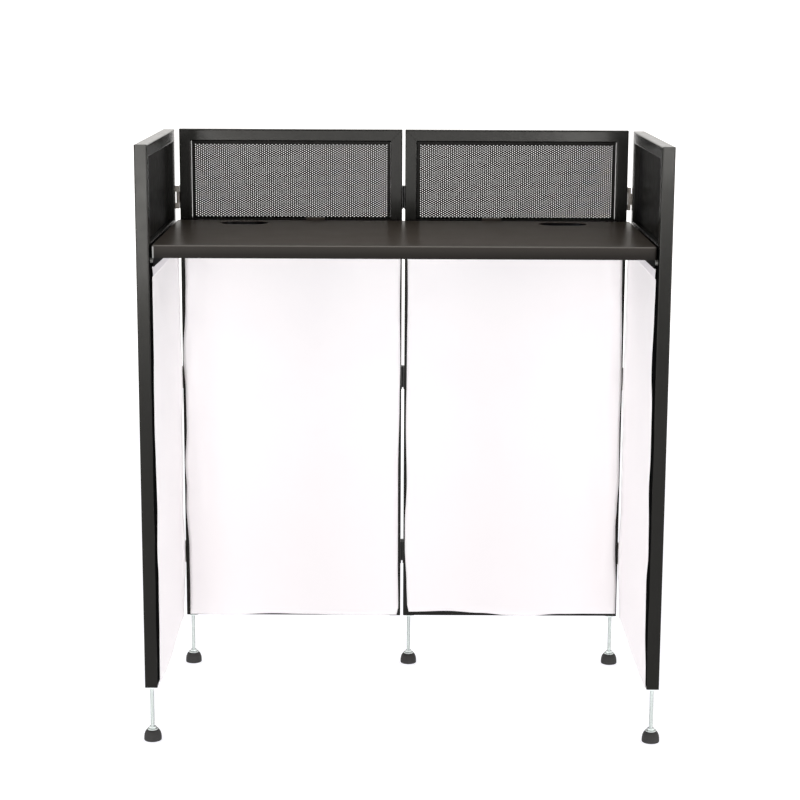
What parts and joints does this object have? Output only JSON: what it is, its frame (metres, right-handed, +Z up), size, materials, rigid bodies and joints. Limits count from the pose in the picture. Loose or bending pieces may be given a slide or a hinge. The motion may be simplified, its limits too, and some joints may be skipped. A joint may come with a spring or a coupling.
{
  "type": "folding dj table",
  "caption": "Free-standing folding booth: hinged tube-frame panels with perforated tops and white stretch scrims around a drop-in table top, on screw feet.",
  "frame": {"origin": "on the floor, in the middle of the width and of the depth", "axes": "+X to the user's right, +Y from the user towards the audience, +Z up"},
  "size_m": [1.026, 0.518, 1.179],
  "materials": {
    "frame": "satin black powder coat",
    "mesh": "satin black perforated sheet",
    "table": "semi-gloss black coat",
    "hinge": "black coated steel",
    "scrim": "matte white stretch fabric",
    "zinc": "bright zinc plate",
    "rubber_foot": "matte moulded rubber",
    "plug": "matte black"
  },
  "bodies": {
    "left_panel": {"left_bottom_rail": "frame", "left_far_post": "frame", "left_hinge_left_leaves": "hinge", "left_hinge_pins": "zinc", "left_lock_nuts": "zinc", "left_mesh_sheet": "mesh", "left_middle_rail": "frame", "left_near_post": "frame", "left_scrim": "scrim", "left_table_peg": "zinc", "left_threaded_plugs": "plug", "left_top_rail": "frame"},
    "front_left_panel": {"centre_hinge_front_left_leaves": "hinge", "centre_hinge_pins": "zinc", "front_left_bottom_rail": "frame", "front_left_inner_post": "frame", "front_left_lock_nuts": "zinc", "front_left_mesh_sheet": "mesh", "front_left_middle_rail": "frame", "front_left_outer_post": "frame", "front_left_scrim": "scrim", "front_left_threaded_plugs": "plug", "front_left_top_rail": "frame", "left_hinge_front_left_leaves": "hinge"},
    "front_right_panel": {"centre_hinge_front_right_leaves": "hinge", "front_right_bottom_rail": "frame", "front_right_inner_post": "frame", "front_right_lock_nuts": "zinc", "front_right_mesh_sheet": "mesh", "front_right_middle_rail": "frame", "front_right_outer_post": "frame", "front_right_scrim": "scrim", "front_right_threaded_plugs": "plug", "front_right_top_rail": "frame", "right_hinge_front_right_leaves": "hinge", "right_hinge_pins": "zinc"},
    "right_panel": {"right_bottom_rail": "frame", "right_far_post": "frame", "right_hinge_right_leaves": "hinge", "right_lock_nuts": "zinc", "right_mesh_sheet": "mesh", "right_middle_rail": "frame", "right_near_post": "frame", "right_scrim": "scrim", "right_table_peg": "zinc", "right_threaded_plugs": "plug", "right_top_rail": "frame"},
    "table": {"table_gussets": "table", "table_hooks": "table", "table_top": "table"},
    "left_near_foot": {"left_near_foot_pad": "rubber_foot", "left_near_foot_stem": "zinc"},
    "front_left_foot": {"front_left_foot_pad": "rubber_foot", "front_left_foot_stem": "zinc"},
    "front_centre_foot": {"front_centre_foot_pad": "rubber_foot", "front_centre_foot_stem": "zinc"},
    "front_right_foot": {"front_right_foot_pad": "rubber_foot", "front_right_foot_stem": "zinc"},
    "right_near_foot": {"right_near_foot_pad": "rubber_foot", "right_near_foot_stem": "zinc"}
  },
  "joints": [
    {"name": "left_corner_fold", "type": "hinge", "parent": "left_panel", "child": "front_left_panel", "pos_m": [-0.479, 0.225, 0.6455], "axis": [0, 0, -1], "range_deg": [0, 89]},
    {"name": "centre_fold", "type": "hinge", "parent": "front_left_panel", "child": "front_right_panel", "pos_m": [0, 0.256, 0.6455], "axis": [0, 0, 1], "range_deg": [0, 178]},
    {"name": "right_corner_fold", "type": "hinge", "parent": "front_right_panel", "child": "right_panel", "pos_m": [0.479, 0.225, 0.6455], "axis": [0, 0, -1], "range_deg": [0, 89]},
    {"name": "table_lift", "type": "slide", "parent": "left_panel", "child": "table", "axis": [-0.0135, -0.3664, 0.9304], "range_m": [0, 1.8464]},
    {"name": "left_near_foot_screw", "type": "slide", "parent": "left_panel", "child": "left_near_foot", "axis": [0, 0, 1], "range_m": [-0.015, 0.07]},
    {"name": "front_left_foot_screw", "type": "slide", "parent": "front_left_panel", "child": "front_left_foot", "axis": [0, 0, 1], "range_m": [-0.015, 0.07]},
    {"name": "front_centre_foot_screw", "type": "slide", "parent": "front_right_panel", "child": "front_centre_foot", "axis": [0, 0, 1], "range_m": [-0.015, 0.07]},
    {"name": "front_right_foot_screw", "type": "slide", "parent": "front_right_panel", "child": "front_right_foot", "axis": [0, 0, 1], "range_m": [-0.015, 0.07]},
    {"name": "right_near_foot_screw", "type": "slide", "parent": "right_panel", "child": "right_near_foot", "axis": [0, 0, 1], "range_m": [-0.015, 0.07]}
  ],
  "couplings": [
    {"joint": "centre_fold", "follows": "left_corner_fold", "ratio": 2},
    {"joint": "right_corner_fold", "follows": "left_corner_fold", "ratio": 1},
    {"joint": "table_lift", "follows": "left_corner_fold", "m_per_rad": 1.1886}
  ]
}
